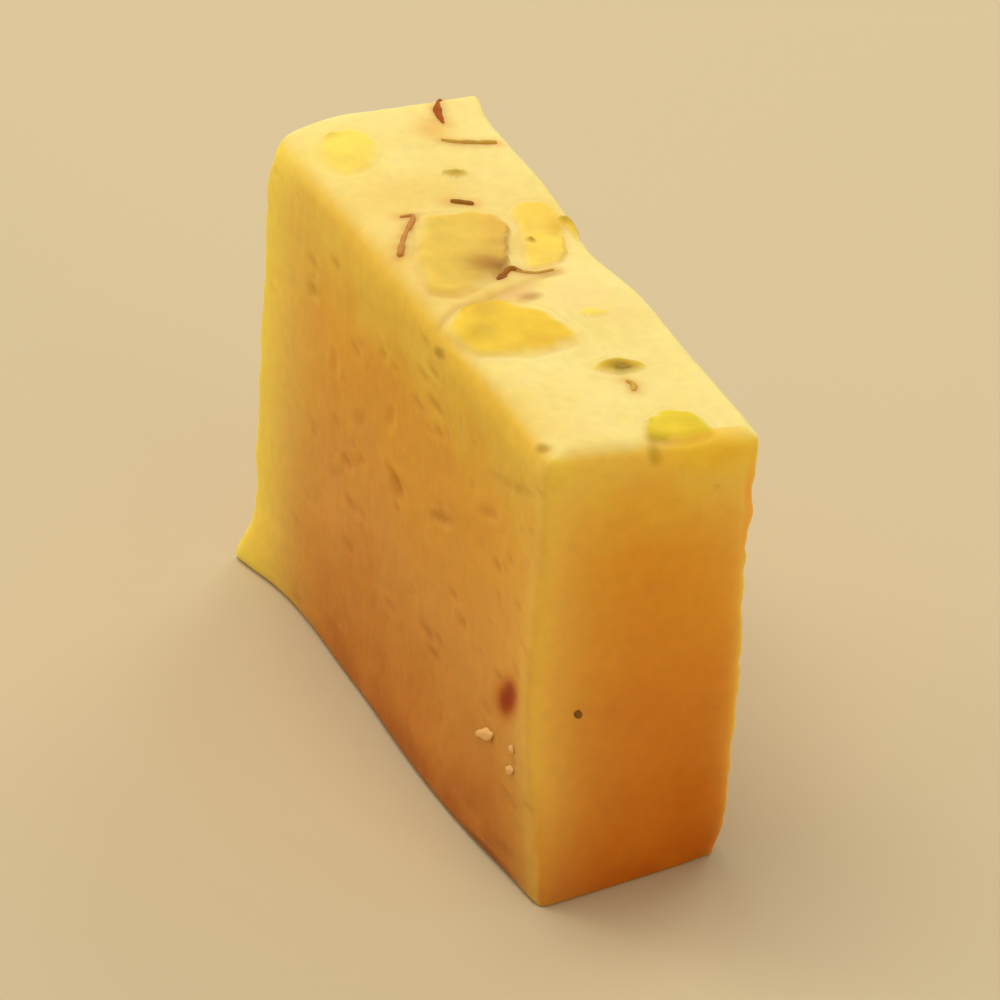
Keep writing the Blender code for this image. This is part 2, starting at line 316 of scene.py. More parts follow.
def scatterPits():
    # small torn-out grains over the four cut faces, at random places
    draw = random.Random(seed)
    w, l, h = slab["width"], slab["length"], slab["height"]
    pits = []
    for _ in range(slab["pits"]):
        if draw.random() < l / (l + w):
            place = Vector((draw.choice((-w / 2, w / 2)), draw.uniform(-l / 2, l / 2),
                            draw.uniform(1, h - 2)))
            stretch = Vector((1, 1 / draw.uniform(1.6, 3.2), 1))
        else:
            place = Vector((draw.uniform(-w / 2, w / 2), draw.choice((-l / 2, l / 2)),
                            draw.uniform(1, h - 2)))
            stretch = Vector((1 / draw.uniform(1.0, 2.0), 1, 1))
        low, high = slab["pitRadii"]
        radius = low + (high - low) * draw.random() ** 2.6
        pits.append((place, radius, radius * draw.uniform(0.22, 0.42), stretch))
    tree = kdtree.KDTree(len(pits))
    for number, pit in enumerate(pits):
        tree.insert(pit[0], number)
    tree.balance()
    return pits, tree


def pitDepth(point, pits, tree):
    depth = 0.0
    for _, number, _ in tree.find_range(point, 2.2):
        place, radius, deepest, stretch = pits[number]
        away = (point - place) * stretch
        share = away.length / radius
        depth += deepest * (math.exp(-share * share) - 0.22 * math.exp(-((share - 1.7) / 0.6) ** 2))
    return depth


def dentDepth(point):
    depth = 0.0
    for (along, up), (halfAlong, halfUp), turn, deepest in slab["dents"]:
        y, z = point.y - along, point.z - up
        angle = math.radians(turn)
        a = (y * math.cos(angle) + z * math.sin(angle)) / halfAlong
        b = (z * math.cos(angle) - y * math.sin(angle)) / halfUp
        if abs(a) < 3 and abs(b) < 3:
            share = a * a + b * b
            depth += deepest * (math.exp(-share) - 0.25 * math.exp(-(math.sqrt(share) - 1.8) ** 2 / 0.3))
    return depth


def surfaceGrain(point, facing, pits, tree):
    # how far the real surface stands out of the even one; the knife leaves the ends smoother
    top = shareOf(facing.z, 0.3, 0.9)
    cut = (1 - top) * shareOf(point.z, 0.3, 1.5)
    rough = 1 - 0.6 * shareOf(abs(facing.y), 0.5, 0.9)
    grain = 0.035 * noise.fractal(point / 0.9, 0.8, 2.1, 3)
    height = grain * (0.55 * top + rough * cut)
    height += top * (0.10 * noise.noise(point / 4.2) + 0.04 * noise.noise(point / 1.5))
    height += burrHeight(point)
    if cut > 0:
        drawn = Vector((point.x, point.y / 2.2, point.z))
        height += cut * rough * (0.10 * noise.noise(drawn / 2.6) + 0.05 * noise.noise(drawn / 1.1))
        height -= cut * rough * pitDepth(point, pits, tree)
        if facing.x < -0.5:
            height -= cut * dentDepth(point)
    return height


def burrHeight(point):
    # the knife dragged a low, lumpy ridge along the front right upright
    burr = slab["burr"]
    low, high = burr["heights"]
    away = math.hypot(slab["width"] / 2 - point.x, slab["length"] / 2 + point.y) / burr["reach"]
    if away > 3:
        return 0.0
    lumps = 0.5 + noise.noise(Vector((0, 0, point.z)) / burr["spacing"])
    ends = shareOf(point.z, low, low + 8) * (1 - shareOf(point.z, high, high + 1))
    return burr["size"] * math.exp(-away * away) * lumps * ends


def makeSlab():
    w, l, h = slab["width"], slab["length"], slab["height"]
    deselectAll()
    bpy.ops.mesh.primitive_cube_add(size=1, location=(0, 0, h / 2), scale=(w, l, h))
    piece = bpy.context.object
    piece.name = "khoyaSlab"
    bpy.ops.object.transform_apply(location=True, rotation=True, scale=True)

    # each edge is rounded by its own radius
    widest = max(slab["edgeRadii"].values())
    weights = piece.data.attributes.new("bevel_weight_edge", "FLOAT", "EDGE")
    for edge in piece.data.edges:
        middle = sum((piece.data.vertices[end].co for end in edge.vertices), Vector()) / 2
        middle.z -= h / 2
        signs = tuple(0 if abs(place) < 1 else int(math.copysign(1, place)) for place in middle)
        weights.data[edge.index].value = slab["edgeRadii"].get(signs, slab["footRadius"]) / widest
    applyModifier(piece, "BEVEL", limit_method="WEIGHT", width=widest, segments=slab["roundingSteps"],
                  use_clamp_overlap=False)

    # a grid over every face, then two rounds of smooth subdivision
    for axis, (size, step) in enumerate(zip((w, l, h), slab["gridSteps"])):
        selectInEdit(piece, "EDGE",
                     lambda edge: abs(edge.verts[0].co[axis] - edge.verts[1].co[axis]) > size / 2)
        bpy.ops.mesh.subdivide(number_cuts=round(size / step) - 1, quadcorner="INNERVERT")
        bpy.ops.object.mode_set(mode="OBJECT")
    applyModifier(piece, "SUBSURF", levels=2, render_levels=2)
    selectInEdit(piece, "FACE", lambda face: all(vertex.co.z < 0.01 for vertex in face.verts))
    bpy.ops.mesh.dissolve_faces()
    bpy.ops.object.mode_set(mode="OBJECT")
    return piece


def shapeSlab(piece, stains, slices):
    # moves every point to its place in the hand-cut slab and notes what its colour depends on
    pits, tree = scatterPits()
    names = ("top", "end", "glow", "pit", "stain", "tone", "tintShare")
    for name in names:
        piece.data.attributes.new(name, "FLOAT", "POINT")
    piece.data.attributes.new("tint", "FLOAT_COLOR", "POINT")
    layers = {name: piece.data.attributes[name] for name in names}
    tints = piece.data.attributes["tint"]
    facings = [vertex.normal.copy() for vertex in piece.data.vertices]
    for vertex, facing in zip(piece.data.vertices, facings):
        point = vertex.co.copy()
        moved = uneven(point)
        onEnd = shareOf(abs(facing.y), 0.45, 0.85)
        rise, tint, tintShare = topping(point, facing, slices)
        notes = {
            # the share of the pale top colour, which also reaches round rims that face right: painted
            # highlight there
            "top": shareOf(facing.z + 0.35 * shareOf(facing.x, 0.2, 0.7), 0.40, 0.94),
            "end": onEnd,
            # painted glow along the thin edges
            "glow": paintedEdgeGlow(point, facing),
            # painted shade in the torn pits, darker the deeper they are, fainter on the end
            "pit": min(1.0, 2.2 * max(0.0, pitDepth(point, pits, tree))) * (1 - 0.75 * onEnd),
            "stain": stainAt(moved, stains),
            "tone": toneAt(point),
            "tintShare": tintShare,
        }
        for name, value in notes.items():
            layers[name].data[vertex.index].value = value
        tints.data[vertex.index].color = tint
        vertex.co = inPlace(moved + facing * (rise + surfaceGrain(point, facing, pits, tree)))


def paintedEdgeGlow(point, facing):
    # painted glow at this place, from 0 to 1: colour standing in for the light that the nearest edges would
    # let through
    reach = slab["paintedGlowReach"]
    left, right = slab["width"] / 2 + point.x, slab["width"] / 2 - point.x
    front, back = slab["length"] / 2 + point.y, slab["length"] / 2 - point.y
    below = slab["height"] - point.z
    lifted = 0.35 + 0.65 * shareOf(point.z, 0, 14)
    fromLeft = 0.75 * lifted * math.exp(-(max(0.0, left) / reach["leftOnEnd"]) ** 1.5)
    fromRight = lifted * math.exp(-right / reach["rightOnEnd"])
    fromTop = 0.56 * math.exp(-(below / reach["topOnEnd"]) ** 2)
    fromCorner = 0.75 * math.exp(-(right / reach["cornerAcross"]) ** 2 - (below / reach["cornerDown"]) ** 2)
    fromFront = 0.7 * math.exp(-front / reach["frontOnSide"])
    fromBack = (1.0 if point.x < 0 else 0.5) * math.exp(-(back / reach["backOnSide"]) ** 2)
    backward = 1 - back / slab["length"]
    fromTopRim = 0.35 * backward * backward * math.exp(-(below / reach["topOnSide"]) ** 2)
    onEnd = 1 - (1 - fromLeft) * (1 - fromRight) * (1 - fromTop) * (1 - fromCorner)
    onEnd = min(onEnd, slab["mostPaintedGlowOnEnd"])
    onSide = 1 - (1 - fromFront) * (1 - fromBack) * (1 - fromTopRim)
    return onSide + (onEnd - onSide) * shareOf(abs(facing.y), 0.45, 0.85)


def toneAt(point):
    # from creamy, at -1, to warm tan, at 1, over the top
    tone = 0.0
    for (x, y), reach, strength in slab["tones"]:
        tone += strength * math.exp(-((point.x - x) ** 2 + (point.y - y) ** 2) / reach ** 2)
    return max(-1.0, min(1.0, tone))


def stainAt(point, stains):
    strongest = 0.0
    for place, reach, strength in stains:
        strongest = max(strongest, strength * math.exp(-((point - place).length / reach) ** 2))
    return strongest


# Cooked milk solids with saffron: dense, fine grained, slightly waxy. Light sinks a few millimetres in.
# The yellow glow along thin edges is painted into the colour, and the cut faces' deep amber beside the pale
# pressed top is partly their own colour and partly painted shade.

khoya = {
    "topPale": "#f3e190",
    "topDeep": "#efda84",
    "topCreamy": "#f3d890",
    "topWarm": "#e8c462",
    # the cut faces by height: partly their own amber, partly painted shade, darker and redder towards the
    # foot and more saturated on the end than on the side
    "side": [(0.0, "#b06421"), (0.10, "#c97d2e"), (0.40, "#dc9942"), (0.75, "#e7a63a"), (0.95, "#f0c548")],
    "end": [(0.0, "#c05f08"), (0.10, "#ce7310"), (0.40, "#df8c2a"), (0.75, "#eca12c"), (0.95, "#f8c944")],
    # painted glow: pale yellow where thin edges would let light through
    "glow": [(0.50, "#f5d062"), (1.00, "#fddc58")],
    # painted shade for the pits
    "paintedPitShade": "#b87434",
    "saffronStain": "#e2963a",
    "saffronDeep": "#a2400c",
    "mottleSize": 6.0,
    "crumbSize": 1.3,
    "grainSize": 0.35,
    "fleshSize": 2.4,  # clouds in the slices
    "grainHeight": 0.03,
    "sinkDepth": 2.6,
}


def khoyaFinish():
    finish, tree, shader = newFinish("saffronKhoya")
    place = addNode(tree, "TexCoord").outputs["Object"]
    height = addNode(tree, "SeparateXYZ", links={0: place}).outputs["Z"]
    upShare = addNode(tree, "MapRange", {"From Min": 0.0, "From Max": slab["height"] * mm}, {"Value": height})
    mottle = addNode(tree, "TexNoise", {"Scale": across(khoya["mottleSize"]), "Detail": 3.0},
                     {"Vector": place})
    crumb = addNode(tree, "TexNoise", {"Scale": across(khoya["crumbSize"]), "Detail": 4.0, "Roughness": 0.6},
                    {"Vector": place})
    grain = addNode(tree, "TexNoise", {"Scale": across(khoya["grainSize"]), "Detail": 3.0, "Roughness": 0.65},
                    {"Vector": place})
    flesh = addNode(tree, "TexNoise", {"Scale": across(khoya["fleshSize"]), "Detail": 2.0}, {"Vector": place})
    note = {}
    for name in ("top", "end", "glow", "pit", "stain", "tone", "tintShare"):
        note[name] = addNode(tree, "Attribute", {"attribute_name": name}).outputs["Fac"]
    tint = addNode(tree, "Attribute", {"attribute_name": "tint"}).outputs["Color"]

    # the cut faces: paler towards the top, with soft mottling; the darkening towards the foot and the end's
    # deeper orange are painted shade, and the yellow along the edges is painted glow
    drift = addNode(tree, "MapRange", {"To Min": -0.16, "To Max": 0.16}, {"Value": mottle.outputs["Fac"]})
    unevenUp = addNode(tree, "Math", {"operation": "ADD"}, {0: upShare.outputs[0], 1: drift.outputs[0]})
    sideColour = addNode(tree, "ValToRGB", {"stops": khoya["side"]}, {"Fac": unevenUp.outputs[0]})
    endColour = addNode(tree, "ValToRGB", {"stops": khoya["end"]}, {"Fac": unevenUp.outputs[0]})
    cutColour = addNode(tree, "Mix", {"data_type": "RGBA"},
                        {0: note["end"], 6: sideColour.outputs[0], 7: endColour.outputs[0]})
    glow = addNode(tree, "ValToRGB", {"stops": khoya["glow"]}, {"Fac": note["glow"]})
    withPaintedGlow = addNode(tree, "Mix", {"data_type": "RGBA"},
                      {0: note["glow"], 6: cutColour.outputs[2], 7: glow.outputs[0]})

    # the pressed top: pale, with creamy and warm patches; where it reaches round rims that face right, the
    # pale colour is a painted highlight
    topColour = addNode(tree, "ValToRGB", {"stops": [(0.3, khoya["topPale"]), (0.7, khoya["topDeep"])]},
                        {"Fac": mottle.outputs["Fac"]})
    warm = addNode(tree, "Math", {"operation": "MAXIMUM", 1: 0.0}, {0: note["tone"]})
    cool = addNode(tree, "Math", {"operation": "MULTIPLY", 1: -1.0, "use_clamp": True}, {0: note["tone"]})
    warmed = addNode(tree, "Mix", {"data_type": "RGBA", 7: linear(khoya["topWarm"])},
                     {0: warm.outputs[0], 6: topColour.outputs[0]})
    toned = addNode(tree, "Mix", {"data_type": "RGBA", 7: linear(khoya["topCreamy"])},
                    {0: cool.outputs[0], 6: warmed.outputs[2]})
    skin = addNode(tree, "Mix", {"data_type": "RGBA"},
                   {0: note["top"], 6: withPaintedGlow.outputs[2], 7: toned.outputs[2]})

    # fine crumb, painted shade in the torn pits, and saffron that has run
    crumbShade = addNode(tree, "MapRange", {"From Min": 0.3, "From Max": 0.7, "To Min": 0.96, "To Max": 1.03},
                         {"Value": crumb.outputs["Fac"]})
    shaded = addNode(tree, "Mix", {"data_type": "RGBA", "blend_type": "MULTIPLY", 0: 1.0},
                     {6: skin.outputs[2], 7: crumbShade.outputs[0]})
    pitted = addNode(tree, "Mix", {"data_type": "RGBA", 7: linear(khoya["paintedPitShade"])},
                     {0: note["pit"], 6: shaded.outputs[2]})
    tinted = addNode(tree, "MapRange", {"From Max": 0.5, "To Max": 0.6}, {"Value": note["stain"]})
    soaked = addNode(tree, "MapRange", {"From Min": 0.5, "From Max": 1.0}, {"Value": note["stain"]})
    stained = addNode(tree, "Mix", {"data_type": "RGBA", 7: linear(khoya["saffronStain"])},
                      {0: tinted.outputs[0], 6: pitted.outputs[2]})
    deep = addNode(tree, "Mix", {"data_type": "RGBA", 7: linear(khoya["saffronDeep"])},
                   {0: soaked.outputs[0], 6: stained.outputs[2]})

    # slices and spots over it all, their flesh faintly clouded
    cloudShade = addNode(tree, "MapRange", {"From Min": 0.3, "From Max": 0.7, "To Min": 0.91, "To Max": 1.07},
                         {"Value": flesh.outputs["Fac"]})
    clouded = addNode(tree, "Mix", {"data_type": "RGBA", "blend_type": "MULTIPLY", 0: 1.0},
                      {6: tint, 7: cloudShade.outputs[0]})
    topped = addNode(tree, "Mix", {"data_type": "RGBA"},
                     {0: note["tintShare"], 6: deep.outputs[2], 7: clouded.outputs[2]})
    tree.links.new(topped.outputs[2], shader.inputs["Base Color"])

    gloss = addNode(tree, "MapRange", {"To Min": 0.48, "To Max": 0.68}, {"Value": crumb.outputs["Fac"]})
    tree.links.new(gloss.outputs[0], shader.inputs["Roughness"])
    bump = addNode(tree, "Bump", {"Strength": 0.6, "Distance": khoya["grainHeight"] * mm},
                   {"Height": grain.outputs["Fac"]})
    tree.links.new(bump.outputs[0], shader.inputs["Normal"])
    shader.inputs["IOR"].default_value = 1.46  # milk fat
    shader.inputs["Specular IOR Level"].default_value = 0.12
    shader.inputs["Subsurface Weight"].default_value = 0.65
    shader.inputs["Subsurface Radius"].default_value = (1.0, 0.60, 0.18)
    shader.inputs["Subsurface Scale"].default_value = khoya["sinkDepth"] * mm
    return finish


# Pistachio slices, cut thin and pressed in while the khoya was warm, so that it laps over their edges.
# They are yellow from the saffron; the dark colour on some rims is partly traces of their skin and partly
# painted shadow along raised edges and in grooves. Slices and spots are relief and colour of the slab's own
# mesh, because light runs on through them under the surface.

pistachio = {
    "lap": 1.10,  # how far in from its outline a slice rises and comes clear of the khoya
    "crispLap": 0.22,  # the same where its skin and painted shadow show
    "crease": 0.06,
    "lip": 0.04,  # how high the khoya is pushed up beside a slice
    "slices": {
        # the outline's corners in mm and how proud it stands, the kernel's colour, the colour of the skin and
        # painted shadow on the rim, where these show on the rim in degrees round from +X, and marks: place,
        # reach, strength and colour
        "back": ([(-5.1, 24.4), (-2.2, 23.6), (-1.6, 21.0), (-3.4, 18.0), (-6.2, 17.1), (-7.6, 19.4),
                  (-6.8, 22.6)], 0.22, "#f6da60", "#d2bd42", None, [((-5.2, 23.8), 0.9, 0.8, "#cdb840")]),
        # on the broad slice, the orange to brown marks towards its right edge and lower right corner are
        # painted shade where it tilts down; the darkest, at its tip, is its own brown-red bit
        "broad": ([(-3.6, 9.5), (0.0, 9.6), (3.2, 9.1), (3.3, 6.8), (1.9, 3.8), (0.4, 0.9), (-1.0, -0.9),
                   (-3.4, -2.3), (-6.2, -3.2), (-7.7, -1.4), (-7.2, 2.0), (-5.6, 5.6)], 0.55, "#e3c154",
                  "#855a1a", (288, 386), [((2.6, 6.8), 1.8, 0.55, "#dda24c"),
                                          ((1.4, 3.6), 1.7, 0.50, "#d29848"),
                                          ((-1.4, 0.4), 2.0, 0.90, "#a87430"),
                                          ((-0.7, -0.3), 0.8, 0.6, "#7c5412")]),
        "right": ([(4.3, 9.2), (6.1, 10.2), (7.9, 9.5), (8.3, 7.2), (7.6, 4.4), (6.4, 1.5), (4.1, -0.4),
                   (1.6, -0.3), (2.1, 1.9), (3.2, 4.5), (4.0, 6.8)], 0.22, "#f2d058", "#c89a34", (270, 330),
                  [((7.9, 5.4), 1.5, 0.7, "#cf9c2c"), ((5.6, 9.6), 1.2, 0.4, "#dcb848")]),
        "golden": ([(-8.8, -6.6), (-6.6, -5.1), (-4.2, -4.4), (-1.6, -5.2), (0.3, -7.4), (1.0, -11.3),
                    (-1.6, -12.4), (-4.9, -13.0), (-7.4, -12.0), (-8.8, -9.2)], 0.35, "#eac53f",
                   "#b08a2c", (72, 125), [((-6.2, -8.8), 1.3, 0.40, "#b89438"),
                                          ((-2.6, -11.4), 1.5, 0.30, "#dca02c"),
                                          ((-4.6, -5.4), 1.6, 0.45, "#c89c3c"),
                                          ((-8.2, -7.4), 1.0, 0.50, "#f6dc50")]),
        "darkHeart": ([(-0.2, -15.4), (1.4, -14.4), (3.0, -14.5), (4.5, -15.8), (3.2, -16.5), (1.2, -16.6)],
                      0.25, "#e0bf40", "#a3841a", None, [((2.2, -15.9), 1.2, 1.0, "#9a7806")]),
        "frontRim": ([(0.1, -24.3), (1.5, -22.6), (3.3, -22.1), (4.9, -23.4), (5.5, -25.0), (5.0, -26.3),
                      (2.6, -26.7), (0.2, -26.4), (-0.5, -25.5)], 0.30, "#e4c934", "#b9a52e", (140, 220),
                     [((-0.1, -25.9), 1.0, 0.7, "#b9a52e"), ((0.9, -24.0), 0.8, 0.4, "#cdb834")]),
        "backChip": ([(1.3, 15.5), (2.6, 15.9), (3.6, 15.1), (2.2, 14.6)], 0.22, "#d6bb55", "#97781e", None,
                     [((2.4, 15.2), 0.8, 0.55, "#97781e")]),
        "rimChip": ([(7.8, 6.9), (8.4, 7.4), (8.9, 6.6), (8.9, 4.8), (8.6, 3.3), (8.1, 4.4)], 0.30,
                    "#dcb62c", "#a88e28", None, [((8.4, 6.8), 0.9, 0.7, "#a88e28")]),
        "streak": ([(2.2, -7.8), (3.6, -7.3), (5.0, -8.1), (3.2, -8.6)], 0.20, "#f0d562", "#cdb252", None,
                   []),
        "speck": ([(3.6, 4.4), (4.3, 4.8), (4.7, 4.1), (4.0, 3.5)], 0.40, "#a88e30", "#75621f", None,
                  [((4.1, 4.2), 0.9, 1.0, "#7a6012")]),
    },
    "ledge": {  # where the khoya was pressed up to the broad slice's foot: points, half width and depth of the groove, and the colour and strength of the painted shade in it
        "points": [(-8.9, -5.5), (-6.4, -4.6), (-3.6, -3.9), (-1.2, -2.9), (1.0, -2.1), (3.6, -1.6)],
        "halfWidth": 0.45,
        "depth": 0.10,
        "colour": "#bf8a3a",
        "strength": 0.40,
    },
    "spots": [  # soft colour patches in the surface: face, place on it, half sizes, turn, colour and strength; some are saffron stains and marks, some painted shade and highlight
        ("side", (-22.0, 16.5), (3.9, 1.90), -42, "#c2640c", 0.75),
        ("side", (-22.2, 16.6), (2.8, 1.20), -45, "#9a3600", 1.0),
        ("side", (-6.8, 38.5), (1.0, 0.50), -20, "#a87c28", 0.7),
        ("side", (0.2, 22.8), (1.60, 1.00), -30, "#b87a28", 0.35),
        ("side", (9.0, 20.0), (2.10, 0.70), -32, "#bb7d2c", 0.35),
        ("side", (7.4, 24.9), (1.80, 0.70), -32, "#bd802c", 0.35),
        ("side", (11.6, 17.4), (1.80, 0.60), -32, "#bb7d2c", 0.30),
        ("side", (-8.0, 24.6), (3.20, 0.50), -22, "#bd8030", 0.30),
        ("side", (17.0, 31.0), (1.60, 0.60), -25, "#bb8a2a", 0.35),
        ("side", (-20.5, 34.6), (4.60, 0.50), -18, "#c08c30", 0.30),
        # two dark bands along the left foot: painted contact shadow
        ("side", (-19.0, 0.4), (4.60, 0.70), 0, "#8a4a10", 0.70),
        ("side", (-8.0, 0.2), (12.00, 0.60), 0, "#9a5a14", 0.45),
        ("top", (-0.4, -4.5), (1.10, 0.70), 10, "#c08e50", 0.8),
        ("top", (-1.2, -3.6), (2.80, 0.90), 24, "#e4b878", 0.6),
        ("top", (-5.4, 20.6), (3.60, 4.20), 0, "#f8e068", 0.45),
        ("top", (-8.7, -24.6), (0.50, 0.90), 25, "#ae8420", 0.7),
        ("end", (-0.1, 39.9), (0.60, 0.90), 12, "#a98612", 0.6),
        ("end", (4.4, 39.9), (4.6, 2.20), -4, "#ffd038", 0.8),
        # a peach band down the end's right edge: painted highlight
        ("end", (8.6, 34.0), (0.55, 5.50), 0, "#ffb04c", 0.8),
    ],
}


def prepareSlices():
    # each slice's outline as stretches, the box round it, its middle and its colours
    slices = []
    for corners, proud, kernel, skin, skinAndShadowArc, marks in pistachio["slices"].values():
        outline = smoothLine(corners, 8, closed=True)
        middle = sum(outline, Vector((0, 0))) / len(outline)
        slices.append({
            "stretches": list(zip(outline, outline[1:] + outline[:1])),
            "low": [min(point[axis] for point in outline) - 1.2 for axis in (0, 1)],
            "high": [max(point[axis] for point in outline) + 1.2 for axis in (0, 1)],
            "middle": middle,
            "girth": min((point - middle).length for point in outline),
            "proud": proud,
            "kernel": Vector(linear(kernel)),
            "skin": Vector(linear(skin)),
            "skinAndShadowArc": skinAndShadowArc,
            "marks": [(Vector(mark), size, strength, Vector(linear(colour)))
                      for mark, size, strength, colour in marks],
        })
    return slices


def toLine(place, points):
    # how far a place lies from a line of straight stretches
    nearest = 1000.0
    for start, end in zip(points, points[1:]):
        along = end - start
        share = min(1.0, max(0.0, (place - start).dot(along) / along.length_squared))
        nearest = min(nearest, (place - start - along * share).length)
    return nearest


def depthInside(place, stretches):
    # how far inside an outline that runs clockwise a place lies, in mm, or outside it where negative
    nearest, inside = 1000.0, True
    for start, end in stretches:
        along = end - start
        share = min(1.0, max(0.0, (place - start).dot(along) / along.length_squared))
        gap = place - start - along * share
        if gap.length < nearest:
            nearest, inside = gap.length, along.cross(gap) < 0
    return nearest if inside else -nearest


def skinAndShadowShown(piece, place):
    # 1 where a slice's rim shows its skin and painted shadow, fading over a few degrees
    if piece["skinAndShadowArc"] is None:
        return 0.0
    away = place - piece["middle"]
    degrees = math.degrees(math.atan2(away.y, away.x)) % 360
    low, high = piece["skinAndShadowArc"]
    return max(shareOf(turn, low - 15, low) * (1 - shareOf(turn, high, high + 15))
               for turn in (degrees, degrees + 360))


def flatPlace(point):
    # where a point of the top or its rims lies when the top is rolled out flat, as in onTop
    flat = []
    for axis, half in ((0, slab["width"] / 2), (1, slab["length"] / 2)):
        sign = -1 if point[axis] < 0 else 1
        radius = slab["edgeRadii"][(sign, 0, 1) if axis == 0 else (0, sign, 1)]
        past = (abs(point[axis]) - (half - radius)) / radius
        if past > 0:
            drop = (slab["height"] - point.z) / radius
            turned = math.atan2(past, max(1 - drop, 1e-6)) if drop < 1 else math.pi / 2 + drop - 1
            flat.append(sign * (half - radius + turned * radius))
        else:
            flat.append(point[axis])
    return Vector(flat)


def laidOver(under, share, colour, here):
    # a colour over another, each with the share that it covers
    covered = here + share * (1 - here)
    return (colour * here + under * (share * (1 - here))) / covered, covered


def topping(point, facing, slices):
    # how proud the slices make the surface stand here, with the colour that shows and its share
    rise, crease, lip, tint, shown = 0.0, 0.0, 0.0, Vector((1, 1, 1, 1)), 0.0
    for face, (u, v), halves, turn, colour, strength in pistachio["spots"]:
        away = faceOffset(face, point, facing, u, v)
        if away is None:
            continue
        angle = math.radians(turn)
        a = (away.x * math.cos(angle) + away.y * math.sin(angle)) / halves[0]
        b = (away.y * math.cos(angle) - away.x * math.sin(angle)) / halves[1]
        here = strength * (1 - shareOf(math.hypot(a, b), 0.30, 1.40))
        if here > 0:
            tint, shown = laidOver(tint, shown, Vector(linear(colour)), here)

    if facing.z < 0.02 or point.z < slab["height"] - 3:
        return rise, tint, shown

    place = flatPlace(point)
    ledge = pistachio["ledge"]
    nearness = toLine(place, [Vector(end) for end in ledge["points"]]) / ledge["halfWidth"]
    if nearness < 3:
        # the groove is darkened with painted shade
        sunk = math.exp(-nearness * nearness) * (0.8 + 0.5 * noise.noise(Vector((*place, 6.0)) / 1.1))
        tint, shown = laidOver(tint, shown, Vector(linear(ledge["colour"])), ledge["strength"] * sunk)
        crease = ledge["depth"] * sunk
    for piece in slices:
        if any(not piece["low"][axis] < place[axis] < piece["high"][axis] for axis in (0, 1)):
            continue
        ragged = 0.25 * noise.noise(Vector((*place, 4.0)) / 1.1)
        depth = depthInside(place, piece["stretches"]) + ragged
        if depth < -1.2:
            continue
        crisp = skinAndShadowShown(piece, place)
        lap = pistachio["lap"] * min(1.0, piece["girth"] / 2.8)
        lap *= 1 + 0.7 * noise.noise(Vector((*place, 2.0)) / 2.6)
        lap += (min(lap, pistachio["crispLap"]) - lap) * crisp
        rise = max(rise, piece["proud"] * shareOf(depth, -0.05, lap))
        crease = max(crease, pistachio["crease"] * math.exp(-((depth / 0.16) ** 2)))
        lip = max(lip, pistachio["lip"] * math.exp(-(((depth + 0.45) / 0.28) ** 2)))
        worn = 0.75 + 0.5 * noise.noise(Vector((*place, 1.0)) / 0.5)
        # the rim's dark band: skin colour, and painted shadow along raised edges
        dark = crisp * worn * math.exp(-(((depth - 0.12) / 0.26) ** 2))
        here = shareOf(depth, -0.10, 0.15 + 0.95 * lap)
        if here > 0:
            colour = piece["kernel"]
            for mark, size, strength, stain in piece["marks"]:
                colour = colour.lerp(stain, strength * math.exp(-((place - mark).length / size) ** 2))
            colour = colour.lerp(piece["skin"], min(1.0, dark))
            tint, shown = laidOver(tint, shown, colour, here)
    return rise + lip - crease, tint, shown


def faceOffset(face, point, facing, u, v):
    # how far a point lies from a place on the named face, or None where it is on another face
    if face == "top":
        return flatPlace(point) - Vector((u, v)) if facing.z > 0.2 and point.z > slab["height"] - 3 else None
    if face == "side":
        return Vector((point.y - u, point.z - v)) if facing.x < -0.2 else None
    return Vector((point.x - u, point.z - v)) if facing.y < -0.2 else None


# Saffron threads, steeped and half sunk in the top: dry stigmas, dull red-brown, thicker where they knot

saffron = {
    "steps": 8,
    "slimness": 0.88,
    "threads": {  # the points that each passes through, with its radius there, and its colour
        "back": ([(6.3, 27.4, 0.18), (5.4, 25.8, 0.18), (4.8, 24.2, 0.42), (4.6, 22.6, 0.18)], "#9a4a0a"),
        "acrossBack": ([(3.4, 20.4, 0.16), (4.4, 19.8, 0.20), (5.8, 19.3, 0.22), (7.7, 18.8, 0.24)],
                       "#b48c34"),
        "short": ([(0.2, 11.4, 0.22), (1.0, 11.1, 0.34), (2.0, 10.7, 0.20)], "#8a5608"),
        "hooked": ([(-5.0, 9.8, 0.16), (-3.9, 9.7, 0.24), (-4.8, 8.3, 0.26), (-5.9, 6.8, 0.24),
                    (-7.4, 4.2, 0.34)], "#b47c3c"),
        "corner": ([(-1.3, -1.1, 0.34), (0.1, 0.0, 0.32), (0.9, -0.7, 0.22)], "#8c5608"),
        "footLine": ([(0.5, -0.3, 0.24), (0.9, -0.7, 0.22), (1.9, -1.2, 0.18), (3.4, -1.1, 0.16)],
                     "#b98c3a"),
        "front": ([(1.7, -17.6, 0.18), (2.0, -18.3, 0.26), (1.6, -19.2, 0.18)], "#bd943a"),
    },
}


def saffronFinish(name, colour):
    finish, tree, shader = newFinish("saffronStigma" + name[0].upper() + name[1:])
    place = addNode(tree, "TexCoord").outputs["Object"]
    streak = addNode(tree, "TexNoise", {"Scale": across(0.8), "Detail": 4.0}, {"Vector": place})
    lit = addNode(tree, "HueSaturation", {"Hue": 0.505, "Value": 1.4, "Color": linear(colour)})
    mixed = addNode(tree, "Mix", {"data_type": "RGBA", 6: linear(colour)},
                    {0: streak.outputs["Fac"], 7: lit.outputs[0]})
    tree.links.new(mixed.outputs[2], shader.inputs["Base Color"])
    shader.inputs["Roughness"].default_value = 0.6
    shader.inputs["Specular IOR Level"].default_value = 0.15
    return finish


